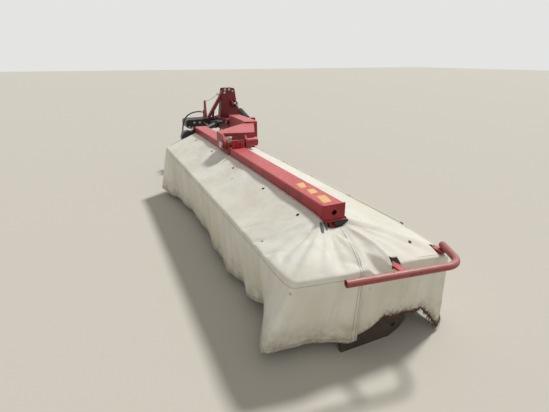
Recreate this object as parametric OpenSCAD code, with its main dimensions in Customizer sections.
// Rear-mounted disc mower, hung from the middle of its top beam and parked on its cutter bar.
// Millimetres, +X from the hitch to the outer end, +Y the driving direction, +Z up, floor at 0.
// Inside the modules X runs from the inner end of the canvas and Y from its centre line.

/* [Canvas cover] */
// Length of the cover along the cutter bar
cover_len = 3500; // [3200:10:3800]
// Width of the cover between its top edges
cover_w = 1018; // [960:2:1080]
// Height of the cover's top edges
cover_edge_z = 590; // [560:5:640]
// Height of the cover where it meets the main beam
cover_ridge_z = 740; // [725:5:755]
// Height of the hem above the floor
cover_hem_z = 78; // [60:2:120]
// How far the front and rear hems hang out past the top edges
cover_flare = 108; // [60:2:130]
// How far the outer end's hem hangs in under its top edge
cover_tuck = 75; // [40:5:90]
// How far the rear hem hangs in under its top edge between its flared ends
rear_tuck = 50; // [20:5:60]
// How far the cover's rear outer corner stands back from its outer edge
corner_setback = 60; // [40:5:80]
// How far the cover's front outer corner hangs below its top edges
corner_droop = 42; // [20:2:50]
// Thickness of the canvas
cover_t = 4; // [3:0.5:6]
// Gap between a sheet of canvas and what it lies on
cover_gap = 0.3; // [0.2:0.1:1]

/* [Main beam] */
// Distance from the cover's outer end back to the beam's outer end
beam_setback = 433; // [380:5:500]
// Width of the beam
beam_w = 150; // [130:2:170]
// Height of the beam
beam_h = 100; // [94:2:112]
// Height of the beam's top face
beam_top_z = 818; // [812:1:824]
// Distance of the beam's centre line behind the cover's centre line
beam_rear = 54; // [40:2:60]
// Wall of the beam
beam_wall = 6; // [4:1:10]

/* [Cutter bar] */
// Number of discs
disc_count = 8; // [8:1:8]
// Distance between neighbouring disc centres
disc_pitch = 395; // [388:1:398]
// Distance of the first disc from the cover's inner end
disc_first = 335; // [320:5:345]
// Distance of the disc centres ahead of the cover's centre line
disc_ahead = 90; // [60:5:110]
// Long diameter of a disc
disc_d = 360; // [330:5:370]
// Width of a disc across its flattened sides
disc_flat_w = 270; // [240:5:290]
// Rise of a disc from its rim to its crown
disc_rise = 28; // [20:2:34]
// Plate thickness of a disc
disc_t = 5; // [4:1:6]
// Radius that the knife tips reach
knife_reach = 240; // [225:1:240]
// Width of a knife
knife_w = 45; // [40:1:50]
// Thickness of a knife
knife_t = 4; // [3:1:5]
// Length of a knife
knife_len = 100; // [90:1:110]
// Height of the cutter bar's gear housing
bar_h = 50; // [44:1:52]
// Depth of the housing, rear edge to front edge
bar_depth = 210; // [190:5:230]
// Plate thickness of the skid shoes
skid_t = 8; // [6:1:10]
// Width of a skid shoe
skid_w = 250; // [220:5:270]
// Spindle that carries a disc
spindle_d = 35; // [30:1:40]

/* [Hanging yoke] */
// Distance of the yoke pin from the cover's inner end
yoke_x = 1300; // [1250:5:1350]
// Height of the yoke pin
yoke_z = 850; // [846:1:856]
// Diameter of the yoke pin
yoke_pin_d = 40; // [35:1:45]
// Clear width between the two yoke cheeks
yoke_inner_w = 200; // [194:2:208]
// Thickness of a yoke cheek
yoke_cheek_t = 20; // [14:1:24]
// Distance of the yoke's centre line behind the cover's centre line
yoke_rear = 56; // [52:1:58]

/* [Arm] */
// Distance of the fold pin inside the cover's inner end
fold_x = 450; // [430:5:470]
// Height of the fold pin
fold_z = 780; // [770:5:790]
// Diameter of the fold pin
fold_pin_d = 40; // [35:1:50]
// Width of the long leg of the arm
arm_w = 150; // [130:5:170]
// Height of the arm's top at the knee
arm_knee_z = 960; // [950:5:975]
// Height of the yoke hood's top
hood_z = 945; // [938:1:952]
// Depth of the yoke hood's top plate with its turned lip
hood_t = 34; // [28:1:38]
// Distance of the arm's outer face ahead of the cover's centre line, at the yoke pin
cheek_outer = 150; // [140:2:160]

/* [Hitch] */
// Distance of the hitch centre inside the cover's inner end
hitch_x = 1050; // [1030:5:1070]
// Distance of the lower link pins ahead of the cover's centre line
hitch_y = 850; // [830:5:870]
// Height of the lower link pins when parked
hitch_z = 550; // [540:5:560]
// Distance between the shoulders of the lower link pins
link_span = 825; // [800:5:850]
// Diameter of a lower link pin
link_pin_d = 28; // [26:0.5:30]
// Free length of a lower link pin
link_pin_len = 90; // [80:5:100]
// Height of the top link pin above the lower link pins
mast_h = 610; // [590:5:620]
// Diameter of the top link pin
top_pin_d = 25; // [22:0.5:28]
// Clear width between the two mast plates
mast_gap = 90; // [80:2:100]
// Thickness of a mast plate
mast_t = 12; // [10:1:16]
// Side of the square cross tube
cross_tube = 100; // [80:5:110]
// Height of the power input shaft
pto_z = 690; // [680:5:700]
// Side of the parking stand's square leg
stand_leg_w = 50; // [45:1:55]
// Wall of the sleeve that guides the stand's leg
stand_sleeve_t = 5; // [4:1:6]
// Diameter of the power input shaft
pto_d = 35; // [34:0.5:36]

/* [Lift cylinder] */
// Bore of the cylinder's barrel, outside
barrel_d = 70; // [60:1:74]
// Diameter of the rod
rod_d = 35; // [30:1:40]
// Diameter of the cylinder's pins
lift_pin_d = 25; // [22:1:30]
// Length of the lift lever on the arm, pin to pin
lift_lever = 150; // [140:1:155]

/* [Guards] */
// Diameter of the outer guard tube
guard_d = 42; // [38:1:46]
// Height of the outer guard tube
guard_z = 600; // [595:5:615]
// Diameter of the two rails under the canvas
rail_d = 34; // [28:1:38]
// Diameter of the flap's hinge rod
flap_rod_d = 10; // [8:1:12]
// Diameter of a hydraulic hose
hose_d = 20; // [16:1:24]
// Diameter of the latch rope
rope_d = 8; // [6:1:10]

/* [Hidden] */
$fn = 48;

red = [0.60, 0.07, 0.10];
dark_red = [0.36, 0.05, 0.08];
black = [0.07, 0.07, 0.07];
zinc = [0.66, 0.66, 0.66];
rust = [0.34, 0.20, 0.14];
canvas_grey = [0.80, 0.79, 0.73];

// radial play of a running pin
fit = 0.05;
// gap that one resting piece keeps from its seat
seat = 0.3;
// reach of the object past the cover's inner end, outer end, rear edge and front edge
hitch_reach = hitch_x + link_span / 2 + link_pin_len;
guard_reach = 142;
rear_reach = cover_w / 2 + cover_flare;
front_reach = hitch_y + cross_tube / 2;
// place of the cover's inner end and centre line, which centres the whole object on the origin
x_in = (hitch_reach - guard_reach - cover_len) / 2;
y_mid = (rear_reach - front_reach) / 2;

half_w = cover_w / 2;
beam_y = -beam_rear;
beam_rear_y = beam_y - beam_w / 2;
beam_front_y = beam_y + beam_w / 2;
beam_end = cover_len - beam_setback;
beam_bottom_z = beam_top_z - beam_h;
beam_start = -13;
end_plate_t = 10;
roof_end = beam_end + end_plate_t + 2 * seat;

yoke_y = -yoke_rear;
yoke_left_y = yoke_y - yoke_inner_w / 2 - yoke_cheek_t;
yoke_right_y = yoke_y + yoke_inner_w / 2 + yoke_cheek_t;

disc_y = disc_ahead;
bar_z = skid_t;
bar_top_z = bar_z + bar_h;
bar_rear_y = disc_y - 0.7 * bar_depth;
bar_front_y = bar_rear_y + bar_depth;
spindle_seat_z = bar_top_z + 14;
knife_z = spindle_seat_z + 4;
disc_z = knife_z + knife_t;
case_x0 = -115;
case_x1 = -25;
shoe_x = disc_first + (disc_count - 1) * disc_pitch + knife_reach + 7;
shoe_t = 25;

top_pin_z = hitch_z + mast_h;
console_z0 = fold_z - 140;
console_z1 = fold_z - 20;
mast_x0 = -hitch_x - mast_gap / 2 - mast_t;
mast_x1 = -hitch_x + mast_gap / 2 + mast_t;
fold_rear_y = 441;
fold_front_y = 640;
lug_t = 16;

// drive joint on the fold line: its two ends and its pin
joint_y0 = 286;
joint_y1 = 356;
joint_pin_d = 20;

// the lift cylinder's rod pin on the mast, its barrel's pin on the arm, and the line between them
lift_y = 722;
rod_pin_x = -900;
rod_pin_z = top_pin_z - 185;
lever_angle = 12;
eye_x = -fold_x + lift_lever * cos(lever_angle);
eye_z = fold_z + lift_lever * sin(lever_angle);
lift_len = norm([eye_x - rod_pin_x, eye_z - rod_pin_z]);
lift_drop = atan2(rod_pin_z - eye_z, eye_x - rod_pin_x);

// hinge line of the front flap, just past the cover's front edge, its ends and its lugs
flap_sleeve_d = flap_rod_d + 6;
flap_y = half_w + flap_sleeve_d / 2 + seat;
flap_z = cover_edge_z - 6;
flap_x0 = 30;
flap_x1 = beam_end - 20;
flap_lug_t = 8;
flap_bays = 5;
flap_lugs = [for (i = [0:flap_bays]) flap_x0 - flap_lug_t + i * (flap_x1 - flap_x0 + flap_lug_t) / flap_bays];

// plan of the guard tube's two brackets: x0, y0, x1, y1
bracket_end = [cover_len - 110, 80, cover_len + 70, 122];
bracket_side = [cover_len - 128, 440, cover_len - 40, 482];

// ends of the rails and places of the cross arms
rail_start = 14;
rail_end = cover_len - 165;
arm_places = [for (i = [0:6]) 60 + i * 455];

// the hose's and the rope's points, in the object's own frame
hose_route = [[-1092, 267.7, 862], [-1092, 250, 862], [-1092, 230, 863], [-1086, 179, 866], [-1076, 109, 858],
              [-1066, 38, 832], [-1056, -18, 786], [-1046, -56, 712], [-1036, -78, 610], [-1028, -72, 520],
              [-1022, -10, 450], [-1020, 120, 412], [-1030, 260, 410], [-1040, 390, 450], [-1045, 480, 520],
              [-1045, 520, 590], [-1045, 520, 615], [-1045, 520, 639.7]];
rope_route = [[-1050, 308, 1020], [-1050, 350, 1030], [-1050, 400, 1050], [-1050, 455, 1084],
              [-1050, 505, 1120], [-1050, 553.5, 1158]];

// moves a piece from the cover's own measures to the object's frame
module place() translate([x_in, y_mid, 0]) children();

// extrudes an outline in X and Z from y0 to y1
module slab_y(y0, y1) translate([0, y1, 0]) rotate([90, 0, 0]) linear_extrude(y1 - y0) children();

// extrudes an outline in Y and Z from x0 to x1
module slab_x(x0, x1) translate([x0, 0, 0]) rotate([90, 0, 90]) linear_extrude(x1 - x0) children();

// round bar along Y, along X and along Z
module bar_y(x, z, y0, y1, d) translate([x, y1, z]) rotate([90, 0, 0]) cylinder(d = d, h = y1 - y0);
module bar_x(x0, x1, y, z, d) translate([x0, y, z]) rotate([0, 90, 0]) cylinder(d = d, h = x1 - x0);
module bar_up(x, y, z0, z1, d) translate([x, y, z0]) cylinder(d = d, h = z1 - z0);

// block between two corners
module block(a, b) translate(a) cube(b - a);

// tube along Y with a bore through it
module tube_y(x, z, y0, y1, d, bore)
    difference() {
        bar_y(x, z, y0, y1, d);
        bar_y(x, z, y0 - 1, y1 + 1, bore);
    }

// one ring of a swept tube, and the tube swept along points
function unit(v) = v / norm(v);
function heading(p, i) = unit(p[min(i + 1, len(p) - 1)] - p[max(i - 1, 0)]);
function side_of(t) = unit(cross(t, abs(t[0]) < 0.9 ? [1, 0, 0] : [0, 1, 0]));
function ring(p, i, r, n) =
    let (t = heading(p, i), a = side_of(t), b = cross(t, a))
    [for (k = [0:n - 1]) p[i] + r * (cos(360 * k / n) * a + sin(360 * k / n) * b)];

// smooths a route by a quadratic step between its points
function route_point(p, i, s) =
    let (a = p[max(i - 1, 0)], b = p[i], c = p[i + 1], d = p[min(i + 2, len(p) - 1)])
    0.5 * (2 * b + (c - a) * s + (2 * a - 5 * b + 4 * c - d) * s * s + (3 * b - a - 3 * c + d) * s * s * s);
function smooth_route(p, steps) =
    concat([for (i = [0:len(p) - 2], k = [0:steps - 1]) route_point(p, i, k / steps)], [p[len(p) - 1]]);

module swept_tube(p, d, n = 8) {
    rings = len(p);
    points = [for (i = [0:rings - 1]) each ring(p, i, d / 2, n)];
    sides = [for (i = [0:rings - 2], k = [0:n - 1])
        [i * n + k, i * n + (k + 1) % n, (i + 1) * n + (k + 1) % n, (i + 1) * n + k]];
    first_cap = [for (k = [0:n - 1]) n - 1 - k];
    last_cap = [for (k = [0:n - 1]) (rings - 1) * n + k];
    polyhedron(points, concat([first_cap], sides, [last_cap]));
}

// Hitch

// square cross tube with a cheek at each end, the console behind the mast and the fold hinge's plates
module hitch_frame() {
    half = link_span / 2;
    tube_z0 = hitch_z - cross_tube / 2;
    tube_y0 = hitch_y - cross_tube / 2;
    color(dark_red) place() {
        difference() {
            union() {
                block([-hitch_x - half, tube_y0, tube_z0],
                      [-hitch_x + half, tube_y0 + cross_tube, tube_z0 + cross_tube]);
                block([mast_x0, fold_rear_y, console_z0], [-600, fold_front_y, console_z1]);
                slab_y(fold_rear_y - lug_t, fold_rear_y) hinge_plate();
                slab_y(fold_front_y, fold_front_y + lug_t) hinge_plate();
                stand_sleeve(tube_y0);
                slab_x(-hitch_x - mast_gap / 2 + 5, -hitch_x + mast_gap / 2 - 5)
                    polygon([[fold_front_y - 2, console_z0 + 5], [fold_front_y - 2, console_z1 - 5],
                             [fold_front_y + 40, console_z1 - 5], [tube_y0 + 1, tube_z0 + cross_tube - 5],
                             [tube_y0 + 1, tube_z0 + 12]]);
                for (side = [-1, 1])
                    slab_x(-hitch_x + side * (half - 8) - 8, -hitch_x + side * (half - 8) + 8)
                        union() {
                            translate([hitch_y, hitch_z]) circle(d = 130);
                            translate([hitch_y - 65, hitch_z - 65]) square([65, 130]);
                        }
            }
            bar_y(-fold_x, fold_z, fold_rear_y - lug_t - 1, fold_front_y + lug_t + 1, fold_pin_d + 2 * fit);
            translate([-hitch_x + 120, tube_y0 - stand_leg_w / 2 - stand_sleeve_t, 0])
                block([-stand_leg_w / 2 - seat, -stand_leg_w / 2 - seat, 300],
                      [stand_leg_w / 2 + seat, stand_leg_w / 2 + seat, 900]);
        }
    }
}

// outline of a fold hinge plate in X and Z, from the console to the round eye
module hinge_plate()
    union() {
        translate([-fold_x, fold_z]) circle(d = 110);
        polygon([[mast_x1 + seat, console_z0], [-640, console_z0], [-fold_x + 20, fold_z - 51],
                 [-fold_x - 20, fold_z + 51], [-780, fold_z + 20], [mast_x1 + seat, fold_z + 20]]);
    }

// sleeve of the parking stand, welded to the rear of the cross tube
module stand_sleeve(tube_y0) {
    outer = stand_leg_w + 2 * stand_sleeve_t;
    translate([-hitch_x + 120 - outer / 2, tube_y0 - outer, hitch_z - 70]) cube([outer, outer, 150]);
}

// two side plates with a web along their rear edges, drilled for the top link pin
module mast() {
    color(dark_red) place()
        difference() {
            union() {
                slab_x(mast_x0, mast_x0 + mast_t) mast_side();
                slab_x(mast_x1 - mast_t, mast_x1) mast_side();
                slab_x(mast_x0 + mast_t, mast_x1 - mast_t) mast_web(console_z1 + 1, top_pin_z + 10);
                lift_fork();
            }
            bar_x(mast_x0 - 1, mast_x1 + 1, 715, top_pin_z, top_pin_d + 2 * fit);
        }
}

// rear face of the mast's web at a height, and the web between two heights
function web_y(z) = 506 + (z - console_z1) * 55 / (top_pin_z + 30 - console_z1);
module mast_web(z0, z1)
    polygon([[web_y(z0), z0], [web_y(z1), z1], [web_y(z1) + mast_t, z1], [web_y(z0) + mast_t, z0]]);

// outline of a mast plate in Y and Z
module mast_side()
    polygon([[505, console_z1 + seat], [560, top_pin_z + 30], [580, top_pin_z + 45], [735, top_pin_z + 45],
             [755, top_pin_z + 30], [785, top_pin_z - 180], [855, hitch_z + 300],
             [hitch_y + cross_tube / 2, hitch_z + cross_tube / 2],
             [hitch_y - cross_tube / 2, hitch_z + cross_tube / 2], [700, console_z1 + seat]]);

// fork on the mast plate that carries the lift cylinder's rod
module lift_fork() {
    for (y = [lift_y - 37, lift_y + 25])
        difference() {
            slab_y(y, y + 12)
                union() {
                    translate([rod_pin_x, rod_pin_z]) circle(d = 60);
                    polygon([[mast_x1 - 1, rod_pin_z - 60], [rod_pin_x, rod_pin_z - 30],
                             [rod_pin_x, rod_pin_z + 30], [mast_x1 - 1, rod_pin_z + 60]]);
                }
            bar_y(rod_pin_x, rod_pin_z, y - 1, y + 13, lift_pin_d + 2 * fit);
        }
}

// slanting brace that ties the mast's head to the gearbox, forked above its foot
module mast_brace() {
    head = top_pin_z - 25;
    throat = top_pin_z - 115;
    foot = console_z1 + seat;
    color(dark_red) place()
        slab_x(-hitch_x - 30, -hitch_x + 30)
            difference() {
                polygon([[web_y(head) - seat, head], [332, foot + 40], [332, foot], [423, foot], [423, foot + 16],
                         [416, foot + 20], [430, foot + 110], [web_y(throat) - seat, throat]]);
                polygon([[362, foot + 18], [398, foot + 18], [400, foot + 82]]);
            }
}

module lower_link_pins() {
    half = link_span / 2;
    color(zinc) place()
        for (side = [-1, 1]) {
            x = -hitch_x + side * half;
            tip = x + side * link_pin_len;
            difference() {
                union() {
                    bar_x(min(x, tip), max(x, tip), hitch_y, hitch_z, link_pin_d);
                    bar_x(min(x, x + side * 8), max(x, x + side * 8), hitch_y, hitch_z, 50);
                }
                bar_up(tip - side * 14, hitch_y, hitch_z - 30, hitch_z + 30, 11);
            }
        }
}

module top_link_pin() {
    color(zinc) place() {
        bar_x(mast_x0 - 22, mast_x1 + 22, 715, top_pin_z, top_pin_d);
        bar_x(mast_x0 - 30, mast_x0 - seat, 715, top_pin_z, 38);
    }
}

// fold pin with its head, and the two ends of the lift cylinder's rod pin in its fork
module pivot_pins() {
    color(zinc) place() {
        bar_y(rod_pin_x, rod_pin_z, lift_y - 44, lift_y - 25 - seat, lift_pin_d);
        bar_y(rod_pin_x, rod_pin_z, lift_y + 25 + seat, lift_y + 44, lift_pin_d);
        bar_y(-fold_x, fold_z, fold_rear_y - lug_t - 14, fold_front_y + lug_t + 14, fold_pin_d);
        bar_y(-fold_x, fold_z, fold_front_y + lug_t + seat, fold_front_y + lug_t + 14, 60);
    }
}

// round bar between two points
module bar_between(a, b, d) {
    l = norm(b - a);
    translate(a) rotate([0, acos((b - a)[2] / l), atan2((b - a)[1], (b - a)[0])]) cylinder(d = d, h = l);
}

pto_x = -1225;
pto_face = 400;

// gear housing behind the console, with its output tube toward the fold line and the hose's valve on top
module input_gearbox() {
    top = console_z1;
    out_y = joint_y1 + 14;
    color(black) place()
        difference() {
            union() {
                slab_x(-1290, -1010)
                    polygon([[40, pto_z - 64], [-5, pto_z - 50], [-24, pto_z - 10], [-20, top - 22],
                             [4, top - 4], [300, top - 4], [300, pto_z - 70]]);
                block([-1300, 290, pto_z - 78], [-1000, pto_face, top]);
                block([-1130, pto_face - 1, console_z0], [-980, fold_rear_y - lug_t - seat, top]);
                for (x = [-1262, -1150, -1038])
                    slab_x(x - 6, x + 6)
                        polygon([[291, top - 1], [30, top - 1], [-12, top - 14], [-12, top - 30], [291, top - 30]]);
                bar_x(-1020, -970, 345, pto_z + 10, 110);
                bar_between([-1000, 345, pto_z + 10], [-556, out_y, fold_z - 4], 60);
                slab_y(joint_y1 + seat, out_y)
                    polygon([[-570, fold_z - 30], [-fold_x, fold_z - 24], [-fold_x, fold_z + 24],
                             [-570, fold_z + 22]]);
                bar_y(-fold_x, fold_z, joint_y1 + seat, out_y, 48);
                bar_y(-fold_x, fold_z, joint_y0 - 4, out_y, joint_pin_d);
                block([-1110, 268, top - 1], [-1074, 304, 884]);
                translate([pto_x, pto_face, pto_z]) rotate([-90, 0, 0]) cylinder(d = 110, h = 25);
            }
            translate([pto_x, pto_face - 20, pto_z]) rotate([-90, 0, 0])
                cylinder(d = pto_d + 12 + 2 * fit, h = 60);
        }
}

// splined input shaft on its journal
module pto_stub() {
    color(zinc) place()
        translate([pto_x, pto_face - 19, pto_z]) rotate([-90, 0, 0])
            union() {
                cylinder(d = pto_d + 12, h = 60);
                cylinder(d = pto_d - 5, h = 140);
                for (k = [0:5]) rotate(60 * k) translate([0, -4, 60]) cube([pto_d / 2, 8, 80]);
            }
}

// open cone around the input shaft
module pto_guard() {
    color(black) place()
        translate([pto_x, pto_face + 25 + seat, pto_z]) rotate([-90, 0, 0])
            rotate_extrude()
                polygon([[45, 0], [60, 0], [95, 130], [90, 130], [56, 5], [45, 5]]);
}

// upright latch lever on its pad
module latch_lever() {
    color(red) place() {
        block([-1070, 250, console_z1 + seat], [-1025, 326, console_z1 + 12]);
        slab_x(-1056, -1044)
            union() {
                polygon([[266, console_z1 + 10], [316, console_z1 + 10], [306, 1020], [277, 1020]]);
                translate([291.5, 1020]) circle(d = 29);
            }
    }
}

// square leg with its foot plate, pinned in the sleeve
module stand_leg() {
    y = hitch_y - cross_tube / 2 - stand_leg_w / 2 - stand_sleeve_t;
    color(dark_red) place() translate([-hitch_x + 120, y, 0]) {
        block([-70, -70, 0], [70, 70, 8]);
        block([-stand_leg_w / 2, -stand_leg_w / 2, 8], [stand_leg_w / 2, stand_leg_w / 2, hitch_z + 86]);
    }
}

module hydraulic_hose() {
    color(black) place() swept_tube(smooth_route(hose_route, 5), hose_d);
}

module latch_rope() {
    color("white") place() swept_tube(smooth_route(rope_route, 3), rope_d);
}

// Arm

// long leg from the fold pin to the knee, short leg back over the beam and the hood with its cheeks
module arm() {
    leg_angle = -10;
    leg_len = 1230;
    color(red) place()
        difference() {
            union() {
                arm_long_leg(leg_angle, leg_len);
                arm_short_leg();
                yoke_cheek(yoke_left_y);
                yoke_cheek(yoke_right_y - yoke_cheek_t);
                bar_y(yoke_x, yoke_z, yoke_left_y - 12, yoke_left_y + 1, 90);
                bar_y(yoke_x, yoke_z, yoke_right_y - 1, cheek_outer + 26, 90);
                bar_y(-fold_x, fold_z, fold_rear_y + 6, fold_front_y - 6, 90);
                lift_lugs();
            }
            bar_y(-fold_x, fold_z, fold_rear_y, fold_front_y, fold_pin_d + 2 * fit);
            bar_y(yoke_x, yoke_z, yoke_left_y - 20, cheek_outer + 30, yoke_pin_d + 2 * fit);
        }
}

// side outline of the long leg, swept across its width
module arm_long_leg(leg_angle, leg_len)
    translate([-fold_x, (fold_rear_y + fold_front_y) / 2, 0]) rotate([0, 0, leg_angle])
        slab_y(-arm_w / 2, arm_w / 2)
            polygon([[0, fold_z - 45], [30, fold_z - 50], [leg_len - 60, 725], [leg_len, 760],
                     [leg_len, arm_knee_z], [leg_len - 90, arm_knee_z], [60, 885], [0, fold_z + 45]]);

// short leg, seen from above, from the knee to the yoke hood, hollow over the beam
module arm_short_leg() {
    leg_z = yoke_z - 58;
    difference() {
        translate([0, 0, leg_z]) linear_extrude(hood_z - leg_z) short_leg_outline();
        hood_hollow(leg_z);
    }
}

module short_leg_outline()
    polygon([[560, 305], [590, 445], [735, 372], [yoke_x + 8, cheek_outer + 4], [yoke_x + 8, yoke_right_y - 1],
             [yoke_x - 60, yoke_left_y], [yoke_x - 190, yoke_left_y], [760, 235]]);

// space under the hood, which the beam and its saddle turn in
module hood_hollow(z0) {
    block([yoke_x - 400, yoke_left_y + yoke_cheek_t, z0 - 1],
          [yoke_x + 200, yoke_right_y - yoke_cheek_t, hood_z - hood_t]);
}

// cheek plate around the yoke pin
module yoke_cheek(y)
    slab_y(y, y + yoke_cheek_t)
        union() {
            translate([yoke_x, yoke_z]) circle(r = 58);
            polygon([[yoke_x - 190, yoke_z - 50], [yoke_x, yoke_z - 58], [yoke_x + 46, yoke_z + 35],
                     [yoke_x - 10, hood_z - 1], [yoke_x - 190, hood_z - 1]]);
        }

// lugs on the arm's front side that the cylinder's barrel turns between
module lift_lugs() {
    block([-232, 520, 735], [-165, 758, 860]);
    for (y = [lift_y - 34, lift_y + 22])
        slab_y(y, y + 12)
            difference() {
                union() {
                    translate([eye_x, eye_z]) circle(d = 60);
                    polygon([[eye_x, eye_z - 30], [-200, 740], [-200, 855], [eye_x, eye_z + 30]]);
                }
                translate([eye_x, eye_z]) circle(d = lift_pin_d + 2 * fit);
            }
}

module yoke_pin() {
    color(zinc) place() {
        bar_y(yoke_x, yoke_z, yoke_left_y - 28, cheek_outer + 38, yoke_pin_d);
        bar_y(yoke_x, yoke_z, yoke_left_y - 28, yoke_left_y - 12 - seat, 62);
    }
}

// guarded drive shaft, hinged on the fold line and open at its outer end
module drive_guard() {
    from = [-fold_x, (joint_y0 + joint_y1) / 2, fold_z];
    to = [-176, -80, 705];
    color(black) place()
        difference() {
            union() {
                swept_cone(from, to);
                bar_y(-fold_x, fold_z, joint_y0, joint_y1, 60);
            }
            bar_y(-fold_x, fold_z, joint_y0 - 60, joint_y1 + 60, joint_pin_d + 2 * fit);
        }
}

// bellows and tube of the shaft guard, turned about its own line
module swept_cone(a, b) {
    d = b - a;
    l = norm(d);
    translate(a) rotate([0, acos(d[2] / l), atan2(d[1], d[0])])
        rotate_extrude()
            polygon([[0, 0], [20, 0], [20, 60], [48, 62], [36, 70], [50, 78], [36, 86], [52, 94], [36, 102],
                     [32, 110], [32, l - 110], [36, l - 102], [52, l - 94], [36, l - 86], [50, l - 78],
                     [36, l - 70], [48, l - 62], [44, l - 50], [44, l], [0, l]]);
}

// draws upward from the rod's pin on the mast toward the barrel's pin on the arm
module along_lift() translate([rod_pin_x, lift_y, rod_pin_z]) rotate([0, 90 + lift_drop, 0]) children();

// barrel open toward the mast, with its eye and pin at the arm's lugs
module lift_barrel() {
    foot = lift_len - 50;
    mouth = lift_len - 350;
    color(black) place() along_lift()
        difference() {
            union() {
                translate([0, 0, mouth]) cylinder(d = barrel_d, h = foot - mouth);
                translate([0, 0, mouth - 22]) cylinder(d = barrel_d - 6, h = 34);
                translate([-20, -12, foot - 1]) cube([40, 24, 51]);
                translate([0, 12, lift_len]) rotate([90, 0, 0]) cylinder(d = 56, h = 24);
                translate([0, 36, lift_len]) rotate([90, 0, 0]) cylinder(d = lift_pin_d, h = 72);
            }
            translate([0, 0, mouth - 40]) cylinder(d = rod_d + 2 * fit, h = foot - 12 - mouth + 40);
        }
}

// rod with its eye between the fork's plates on the mast
module lift_rod() {
    color(zinc) place() along_lift()
        union() {
            translate([0, 0, 20]) cylinder(d = rod_d, h = 315);
            translate([0, 12, 0]) rotate([90, 0, 0]) cylinder(d = 54, h = 24);
            translate([0, 17, 0]) rotate([90, 0, 0]) cylinder(d = lift_pin_d, h = 34);
        }
}

// Mower body

// hollow folded beam, open at its inner end
module main_beam() {
    w = beam_w / 2;
    fold_r = beam_wall;
    color(red) place()
        difference() {
            slab_x(beam_start, beam_end) translate([beam_y, 0])
                polygon([[-w, beam_bottom_z + fold_r], [-w + fold_r, beam_bottom_z],
                         [w - fold_r, beam_bottom_z], [w, beam_bottom_z + fold_r],
                         [w, beam_top_z - fold_r], [w - fold_r, beam_top_z],
                         [-w + fold_r, beam_top_z], [-w, beam_top_z - fold_r]]);
            block([beam_start - 1, beam_rear_y + beam_wall, beam_bottom_z + beam_wall],
                  [beam_end + 1, beam_front_y - beam_wall, beam_top_z - beam_wall]);
        }
}

// end plate of the beam with its hole
module beam_end_plate() {
    color(red) place()
        slab_x(beam_end + seat, beam_end + seat + end_plate_t)
            difference() {
                translate([beam_rear_y, beam_bottom_z]) square([beam_w, beam_h + 4]);
                translate([beam_y, (beam_top_z + beam_bottom_z) / 2]) circle(d = 34);
            }
}

// bush for the yoke pin with its two ears and the cross plate ahead of it
module yoke_saddle() {
    left = yoke_y - yoke_inner_w / 2 + 8;
    right = yoke_y + yoke_inner_w / 2 - 8;
    bore = yoke_pin_d + 2 * fit;
    ear_z = cover_ridge_z + 8;
    color(rust) place() {
        tube_y(yoke_x, yoke_z, left, right, 2 * (yoke_z - beam_top_z), bore);
        difference() {
            union()
                for (y = [beam_rear_y - 11, beam_front_y + seat])
                    slab_y(y, y + 11 - seat)
                        union() {
                            translate([yoke_x, yoke_z]) circle(d = 76);
                            polygon([[yoke_x - 38, yoke_z], [yoke_x - 62, ear_z], [yoke_x + 62, ear_z],
                                     [yoke_x + 38, yoke_z]]);
                        }
            bar_y(yoke_x, yoke_z, left - 50, right + 50, bore);
        }
    }
}

// cross plate and lifting loop on the beam, just outside the yoke
module saddle_hook() {
    x = yoke_x + 90;
    color(red) place() {
        block([x, beam_rear_y + 12, beam_top_z + seat], [x + 10, beam_front_y - 12, beam_top_z + 78]);
        translate([x + 9, beam_y + 12, beam_top_z + 40]) rotate([0, 90, 0])
            difference() {
                cylinder(d = 60, h = 14);
                translate([0, 0, -1]) cylinder(d = 32, h = 16);
            }
    }
}

// plate at the beam's inner end that carries the gear case
module inner_hanger() {
    color(black) place()
        slab_x(case_x1 + seat, beam_start - seat)
            polygon([[beam_rear_y - 2, beam_top_z - 3], [beam_front_y + 2, beam_top_z - 3],
                     [beam_front_y + 20, beam_bottom_z + 20], [beam_front_y + 20, beam_bottom_z - 108],
                     [bar_front_y - 20, 120], [bar_front_y - 20, bar_top_z + 5],
                     [bar_rear_y - 40, bar_top_z + 5], [beam_rear_y - 60, beam_bottom_z - 108],
                     [beam_rear_y - 60, beam_bottom_z + 20]]);
}

// flat case with the bevel gears' head at the top and the cutter bar's first gear at the bottom
module gear_case() {
    color(black) place() {
        bar_x(case_x0, case_x1, -210, 680, 180);
        bar_x(case_x0, case_x1, disc_y - 60, bar_top_z + seat + 75, 150);
        slab_x(case_x0, case_x1)
            polygon([[-299, 672], [-120, 690], [disc_y + 14, 128], [disc_y + 14, bar_top_z + seat],
                     [disc_y - 134, bar_top_z + seat], [disc_y - 134, 110]]);
    }
}

// black bell around the case's input, pointing at the drive shaft
module case_guard() {
    a = [-115, -175, 688];
    b = [-151, -119, 698];
    d = b - a;
    l = norm(d);
    color(black) place()
        difference() {
            translate(a) rotate([0, acos(d[2] / l), atan2(d[1], d[0])])
                translate([0, 0, -60])
                    rotate_extrude() polygon([[30, 0], [48, 0], [66, l + 60], [60, l + 60], [42, 6], [30, 6]]);
            block([case_x0 - seat, -400, 500], [100, 200, 900]);
        }
}

// cranked bracket from the beam's outer end down to the outer shoe
module outer_hanger() {
    y0 = beam_y - 30;
    y1 = beam_y + 30;
    root_x = min(beam_end, shoe_x - 280);
    color(dark_red) place() {
        slab_y(y0, y1)
            polygon([[root_x - 190, beam_bottom_z - seat], [root_x - 190, beam_bottom_z - 40],
                     [root_x, beam_bottom_z - 110], [shoe_x - 30, 500], [shoe_x, 440], [shoe_x, 150],
                     [shoe_x + shoe_t - seat, 150], [shoe_x + shoe_t - seat, 500], [shoe_x, 560],
                     [root_x + 20, beam_bottom_z - 50], [root_x - 4, beam_bottom_z - seat]]);
    }
}

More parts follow.
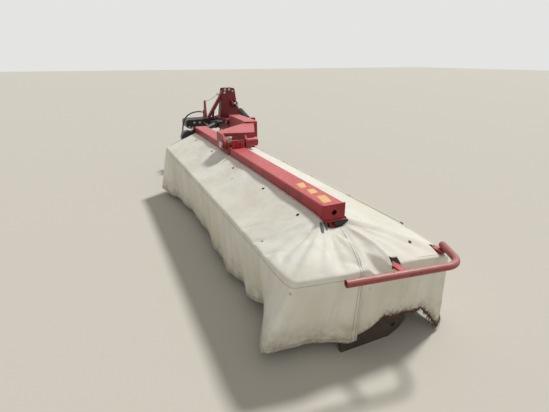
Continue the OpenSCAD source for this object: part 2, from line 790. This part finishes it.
// sealed gear housing with a raised seat and spindle for each disc
module cutter_bar() {
    color(rust) place() {
        difference() {
            union() {
                block([case_x0, bar_rear_y, bar_z], [shoe_x - seat, bar_front_y - 40, bar_top_z]);
                for (i = [0:disc_count - 1]) {
                    x = disc_first + i * disc_pitch;
                    bar_up(x, disc_y - 10, bar_z, bar_top_z, 210);
                    bar_up(x, disc_y, bar_top_z, spindle_seat_z - seat, 120);
                }
            }
            translate([case_x0 - 1, bar_rear_y - 1, bar_top_z - 12])
                rotate([45, 0, 0]) translate([0, 0, 17]) cube([shoe_x - case_x0 + 2, 30, 30]);
        }
        for (i = [0:disc_count - 1])
            bar_up(disc_first + i * disc_pitch, disc_y, bar_top_z, disc_z + disc_rise + 8, spindle_d);
    }
}

// bent shoe under each disc, curved up in front
module skid_shoes() {
    color(rust) place()
        for (i = [0:disc_count - 1]) {
            x = disc_first + i * disc_pitch;
            slab_x(x - skid_w / 2, x + skid_w / 2) skid_outline();
        }
}

// outline of a skid in Y and Z: flat sole, rounded nose and upturned heel
module skid_outline() {
    nose = disc_y + 157;
    r = 60;
    polygon(concat([[bar_rear_y - 60, 30], [bar_rear_y - 20, 0]],
        [for (a = [0:15:75]) [nose - r + r * sin(a), r - r * cos(a)]],
        [for (a = [75:-15:0]) [nose - r + (r - skid_t) * sin(a), r - (r - skid_t) * cos(a)]],
        [[bar_rear_y - 16, skid_t], [bar_rear_y - 56, 38]]));
}

// upright runner at the outer end of the cutter bar
module outer_shoe() {
    color(dark_red) place()
        slab_x(shoe_x, shoe_x + shoe_t)
            difference() {
                union() {
                    polygon([[-150, 0], [200, 0], [280, 40], [330, 110], [300, 130], [120, 150 - seat],
                             [-90, 150 - seat], [-160, 60]]);
                }
                translate([230, 80]) circle(d = 30);
            }
}

// Guards and cover

rail_y = half_w - rail_d / 2 - 6;
rail_z = cover_edge_z - cover_t - rail_d / 2 - seat;
arm_tip = rail_y - rail_d / 2 - seat;

// cross arms that carry the canvas and its rails
module cover_arms() {
    color(dark_red) place()
        for (x = arm_places)
            slab_x(x, x + 40)
                polygon([[-arm_tip, rail_z - 14], [beam_rear_y, beam_bottom_z - 42],
                         [beam_front_y, beam_bottom_z - 42], [arm_tip, rail_z - 14],
                         [arm_tip, rail_z + 14], [beam_front_y, beam_bottom_z - seat],
                         [beam_rear_y, beam_bottom_z - seat], [-arm_tip, rail_z + 14]]);
}

// front rail with the lugs and the rod that the flap hangs on
module front_rail() {
    color(dark_red) place() {
        bar_x(rail_start, flap_x1 + 2 * flap_lug_t, rail_y, rail_z, rail_d);
        bar_x(flap_x0 - flap_lug_t, flap_x1 + flap_lug_t, flap_y, flap_z, flap_rod_d);
        for (x = flap_lugs)
            slab_x(x, x + flap_lug_t)
                polygon([[rail_y, rail_z - 12], [flap_y + 3, flap_z - 4], [flap_y - 2, flap_z + 1],
                         [half_w - 10, cover_edge_z - cover_t - 6], [rail_y, rail_z + 4]]);
    }
}

module rear_rail() {
    color(dark_red) place() bar_x(rail_start, rail_end, -rail_y, rail_z, rail_d);
}

// bent tube around the outer end, open at its rear end
module guard_tube() {
    rear = [cover_len + 36, -275];
    bend_y = 310;
    bend_r = 110;
    bend_turn = 75;
    far_x = cover_len + guard_reach - guard_d / 2;
    lean = atan2(far_x - rear[0], bend_y - rear[1]);
    centre = [far_x - bend_r * cos(lean), bend_y + bend_r * sin(lean)];
    out = bend_turn - lean;
    last = centre + bend_r * [cos(out), sin(out)] + 150 * [-sin(out), cos(out)];
    route = concat([[rear[0], rear[1], guard_z]],
        [for (a = [-lean:bend_turn / 10:out + 0.01])
            [centre[0] + bend_r * cos(a), centre[1] + bend_r * sin(a), guard_z]],
        [[last[0], last[1], guard_z]]);
    color(red) place()
        difference() {
            swept_tube(route, guard_d, 24);
            translate([rear[0], rear[1], guard_z]) rotate([-90, 0, -lean]) translate([0, 0, -1])
                cylinder(d = guard_d - 7, h = 120);
        }
}

// cross tube under the canvas's outer end, with the two brackets that come through its slots
module guard_brackets() {
    top_z = guard_z - guard_d / 2 - seat;
    tube_x = shoe_x + shoe_t + rail_d / 2 + seat;
    tube_z = 470;
    color(red) place() {
        bar_y(tube_x, tube_z, -330, bracket_side[3], rail_d);
        for (b = [bracket_end, bracket_side]) {
            block([tube_x - 6, b[1], tube_z], [tube_x + 6, b[3], top_z - 1]);
            block([tube_x - 6, b[1], top_z - 12], [b[2], b[3], top_z]);
        }
    }
}

// The canvas cover hangs from the top edges of its roof panels.
outer_top_x = cover_len - 30;
rear_corner_x = outer_top_x - corner_setback;

// sheet of canvas as a solid: a grid of outer points and the same grid moved in by the thickness
module canvas_sheet(outer, inner) {
    rows = len(outer);
    cols = len(outer[0]);
    n = rows * cols;
    points = [for (g = [outer, inner], r = [0:rows - 1], c = [0:cols - 1]) g[r][c]];
    quads = [for (r = [0:rows - 2], c = [0:cols - 2])
        let (a = r * cols + c, b = a + 1, d = a + cols, e = d + 1)
        each [[a, b, e], [a, e, d], [n + a, n + e, n + b], [n + a, n + d, n + e]]];
    ends = concat(
        [for (c = [0:cols - 2]) each [[c + 1, c, n + c], [c + 1, n + c, n + c + 1]]],
        [for (c = [0:cols - 2]) let (a = (rows - 1) * cols + c) each [[a, a + 1, n + a + 1], [a, n + a + 1, n + a]]],
        [for (r = [0:rows - 2]) let (a = r * cols) each [[a, a + cols, n + a + cols], [a, n + a + cols, n + a]]],
        [for (r = [0:rows - 2]) let (a = r * cols + cols - 1)
            each [[a + cols, a, n + a], [a + cols, n + a, n + a + cols]]]);
    polyhedron(points, concat(quads, ends));
}

// roof half on one side of the beam: dir is +1 in front and -1 behind
module canvas_top(dir) {
    inner_y = dir > 0 ? beam_front_y + cover_gap : beam_rear_y - cover_gap;
    color(canvas_grey) place() {
        linear_canvas(dir, inner_y);
        difference() {
            outer_canvas(dir, inner_y);
            bracket_slot(bracket_end);
            bracket_slot(bracket_side);
        }
    }
}

// straight roof panel beside the beam
module linear_canvas(dir, inner_y)
    slab_x(0, roof_end)
        polygon([[inner_y, cover_ridge_z], [dir * half_w, cover_edge_z], [dir * half_w, cover_edge_z - cover_t],
                 [inner_y, cover_ridge_z - cover_t]]);

// three-cornered panels past the beam's end, down to the outer edge
module outer_canvas(dir, inner_y) {
    top = [roof_end, inner_y, cover_ridge_z];
    mid = [roof_end, beam_y + dir * seat, cover_ridge_z];
    side = [roof_end, dir * half_w, cover_edge_z];
    corner = dir > 0 ? [outer_top_x, half_w, cover_edge_z - corner_droop] : [rear_corner_x, -half_w, cover_edge_z];
    seam = [outer_top_x, beam_y + dir * seat, cover_edge_z];
    flip = dir > 0;
    prism([top, side, corner], flip);
    prism([top, corner, seam], flip);
    prism([top, seam, mid], flip);
}

// plate of the canvas's thickness under a triangle of its outer surface
module prism(t, flip) {
    low = [for (p = t) p - [0, 0, cover_t]];
    faces = [[0, 1, 2], [5, 4, 3], [0, 3, 4, 1], [1, 4, 5, 2], [2, 5, 3, 0]];
    polyhedron(concat(t, low), flip ? faces : [for (f = faces) [for (k = [len(f) - 1:-1:0]) f[k]]]);
}

module canvas_front_top() canvas_top(1);
module canvas_rear_top() canvas_top(-1);

// hanging sheet: each station is its top point, its hem point, the way out of it, and how far
// its hem sways out and how far it is drawn up
module hanging_sheet(stations) {
    rows = 5;
    grid = [for (r = [0:rows]) [for (q = stations)
        let (t = r / rows)
        q[0] + (q[1] - q[0]) * t + q[2] * (q[3] * t * t) + [0, 0, q[4] * t * t]]];
    back = [for (r = [0:rows]) [for (c = [0:len(stations) - 1]) grid[r][c] - stations[c][2] * cover_t]];
    canvas_sheet(grid, back);
}

sheet_top_z = cover_edge_z - cover_t - seat;
seam_y = [beam_y - seat, beam_y + seat];
hem_out = half_w + cover_flare;

// height of the front half's outer edge between the seam and the drooping corner
function front_edge_z(s) = sheet_top_z - corner_droop * s;

// outer end of the front half, on around the drooping corner to the flap
module canvas_front_outer() {
    end_part = [for (i = [0:12]) let (s = i / 12, y = seam_y[1] + (half_w - 8 - seam_y[1]) * s)
        [[outer_top_x, y, front_edge_z(s)],
         [outer_top_x - cover_tuck * (1 - s) - 8, y + (cover_flare - 20) * s, cover_hem_z + 60 * s * s],
         [1, 0, 0], 10 * sin(540 * s), 34 * abs(sin(540 * s))]];
    side_part = [for (i = [0:6]) let (s = i / 6, x = outer_top_x - 8 + (flap_x1 + 8 - outer_top_x + 8) * s)
        [[x, half_w, front_edge_z(1 - s)],
         [x - 10 * (1 - s), hem_out - 8, cover_hem_z + 50 * (1 - s)],
         [0, 1, 0], 8 * sin(360 * s), 20 * abs(sin(360 * s))]];
    corner = [[[outer_top_x - 2, half_w - 2, front_edge_z(1)],
               [outer_top_x - 10, hem_out - 12, cover_hem_z + 66], unit([1, 1, 0]), 4, 0]];
    color(canvas_grey) place()
        difference() {
            hanging_sheet(concat(end_part, corner, side_part));
            bracket_slot(bracket_end);
        }
}

// opening in the canvas around a guard bracket
module bracket_slot(x) {
    block([x[0] - 4, x[1] - 4, guard_z - 60], [x[2] + 4, x[3] + 4, guard_z + 40]);
}

module canvas_rear_outer() {
    color(canvas_grey) place()
        hanging_sheet([for (i = [0:16]) let (s = i / 16, back = (1 - s) * (1 - s))
            [[outer_top_x - corner_setback * back, -half_w + (seam_y[0] + half_w) * s, sheet_top_z],
             [outer_top_x - cover_tuck - 8 - 110 * back, -hem_out + (seam_y[0] + hem_out) * s, cover_hem_z],
             [1, 0, 0], 10 * sin(540 * s), 0]]);
}

// how far the rear hem flares at a place along it: 1 at both ends and 0 between
function rear_flare(s) = max(pow(max(0, 1 - s * 4), 2), pow(max(0, s * 7 - 6), 1.5));

module canvas_rear_side() {
    last_x = rear_corner_x - cover_t - 2;
    hem_x = outer_top_x - cover_tuck - 128;
    color(canvas_grey) place()
        hanging_sheet([for (i = [0:34]) let (s = i / 34, out = rear_flare(s))
            [[16 + (last_x - 16) * s, -half_w, sheet_top_z],
             [16 + (hem_x - 16) * s, -half_w - cover_flare * out, cover_hem_z],
             [0, -1, 0], 14 * sin(360 * 4 * s) - rear_tuck * (1 - out), 12 * abs(sin(720 * s))]]);
}

module canvas_front_inner() {
    color(canvas_grey) place()
        hanging_sheet([for (i = [0:10]) let (s = i / 10)
            [[cover_t, half_w - 1 - (half_w - 110) * s, sheet_top_z],
             [cover_t, hem_out - 12 - (hem_out - 200) * s, cover_hem_z],
             [-1, 0, 0], 6 * sin(360 * s), 6 * abs(sin(360 * s))]]);
}

module canvas_rear_inner() {
    color(canvas_grey) place()
        hanging_sheet([for (i = [0:8]) let (s = i / 8)
            [[cover_t, -320 - (half_w - 320) * s, sheet_top_z],
             [cover_t, -320 - (hem_out - 320) * s, cover_hem_z],
             [-1, 0, 0], 6 * sin(360 * s), 6 * abs(sin(360 * s))]]);
}

// front skirt on its hinge sleeve, with the rod it turns on
module front_flap() {
    step = (flap_x1 - flap_x0 + flap_lug_t) / flap_bays;
    color(canvas_grey) place() {
        for (i = [0:flap_bays - 1])
            difference() {
                bar_x(flap_lugs[i] + flap_lug_t + 2, flap_lugs[i] + step - 2, flap_y, flap_z, flap_sleeve_d);
                bar_x(flap_lugs[i], flap_lugs[i] + step + 20, flap_y, flap_z, flap_rod_d + 2 * fit);
            }
        hanging_sheet([for (i = [0:30]) let (s = i / 30)
            [[flap_x1 + (flap_x0 - flap_x1) * s, flap_y + flap_rod_d / 2 + 1 + cover_t, flap_z + 2],
             [flap_x1 + (flap_x0 - flap_x1) * s, half_w + cover_flare, cover_hem_z],
             [0, 1, 0], 10 * sin(360 * 4 * s), 10 * abs(sin(720 * s))]]);
    }
}

// Discs

// flattened domed disc with its hub and two knives, turned to its own phase
module cutting_disc(i) {
    x = disc_first + (i - 1) * disc_pitch;
    r = disc_d / 2;
    color(dark_red) place() translate([x, disc_y, 0]) rotate([0, 0, i % 2 == 1 ? 0 : 90])
        difference() {
            union() {
                intersection() {
                    translate([0, 0, disc_z]) rotate_extrude() disc_profile(r);
                    linear_extrude(400) square([disc_d + 10, disc_flat_w], center = true);
                }
                translate([0, 0, spindle_seat_z]) cylinder(d = 76, h = disc_z + disc_rise - spindle_seat_z);
                for (side = [0, 180]) rotate([0, 0, side]) knife();
            }
            translate([0, 0, -1]) cylinder(d = spindle_d + 2 * fit, h = 400);
        }
}

// section of the dome from its crown to its rim
module disc_profile(r)
    polygon([[0, disc_rise], [60, disc_rise], [r - 45, 7], [r, disc_t], [r, 0], [r - 47, 0],
             [58, disc_rise - disc_t - 2], [0, disc_rise - disc_t - 2]]);

// knife under the rim with the bolt it swings on
module knife() {
    bolt_x = knife_reach - knife_len + 22;
    block([knife_reach - knife_len, -knife_w / 2, knife_z], [knife_reach, knife_w / 2, disc_z]);
    bar_up(bolt_x, 0, knife_z - 5, disc_z + 12, 22);
}

module disc_1() cutting_disc(1);
module disc_2() cutting_disc(2);
module disc_3() cutting_disc(3);
module disc_4() cutting_disc(4);
module disc_5() cutting_disc(5);
module disc_6() cutting_disc(6);
module disc_7() cutting_disc(7);
module disc_8() cutting_disc(8);

hitch_frame();
mast();
mast_brace();
lower_link_pins();
top_link_pin();
pivot_pins();
input_gearbox();
pto_stub();
pto_guard();
latch_lever();
stand_leg();
hydraulic_hose();
latch_rope();
arm();
yoke_pin();
drive_guard();
lift_barrel();
lift_rod();
main_beam();
yoke_saddle();
saddle_hook();
beam_end_plate();
inner_hanger();
gear_case();
case_guard();
outer_hanger();
cutter_bar();
skid_shoes();
outer_shoe();
cover_arms();
front_rail();
rear_rail();
guard_tube();
guard_brackets();
canvas_front_top();
canvas_front_outer();
canvas_front_inner();
canvas_rear_top();
canvas_rear_side();
canvas_rear_outer();
canvas_rear_inner();
front_flap();
disc_1();
disc_2();
disc_3();
disc_4();
disc_5();
disc_6();
disc_7();
disc_8();
